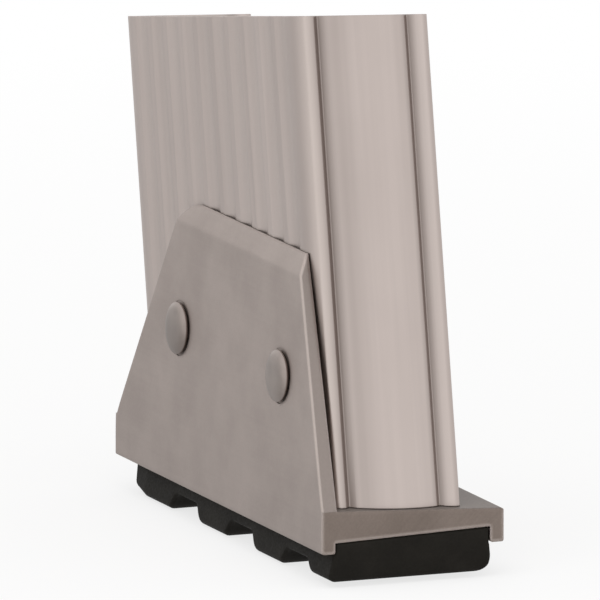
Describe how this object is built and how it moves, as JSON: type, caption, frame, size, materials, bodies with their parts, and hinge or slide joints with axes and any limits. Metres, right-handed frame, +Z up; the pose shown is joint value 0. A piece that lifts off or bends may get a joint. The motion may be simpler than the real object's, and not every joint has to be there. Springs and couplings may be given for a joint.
{
  "type": "ladder shoe",
  "caption": "Foot of a stepladder's aluminium side rail: an angle-shaped shoe riveted to the channel rail, with a cleated rubber tread held under its base.",
  "frame": {"origin": "on the ground, under the middle of the whole part's box", "axes": "+X runs in under the ladder, from the shoe's plate to the rail's open side; -Y is the front of the ladder; +Z is up"},
  "size_m": [0.0364, 0.1202, 0.1025],
  "materials": {
    "rail_aluminium": "mill-finished extrusion, satin, with faint die lines along the rail",
    "shoe_aluminium": "mill-finished extrusion, matt, with sawn ends",
    "rivet_aluminium": "satin",
    "tread_rubber": "matt, moulded"
  },
  "bodies": {
    "root": {"rail_end": "rail_aluminium", "shoe_bracket": "shoe_aluminium", "tread_pad": "tread_rubber", "front_rivet": "rivet_aluminium", "rear_rivet": "rivet_aluminium", "front_rivet_washer": "rivet_aluminium", "rear_rivet_washer": "rivet_aluminium", "front_pad_rivet": "rivet_aluminium", "rear_pad_rivet": "rivet_aluminium", "front_pad_washer": "rivet_aluminium", "rear_pad_washer": "rivet_aluminium"}
  },
  "joints": []
}
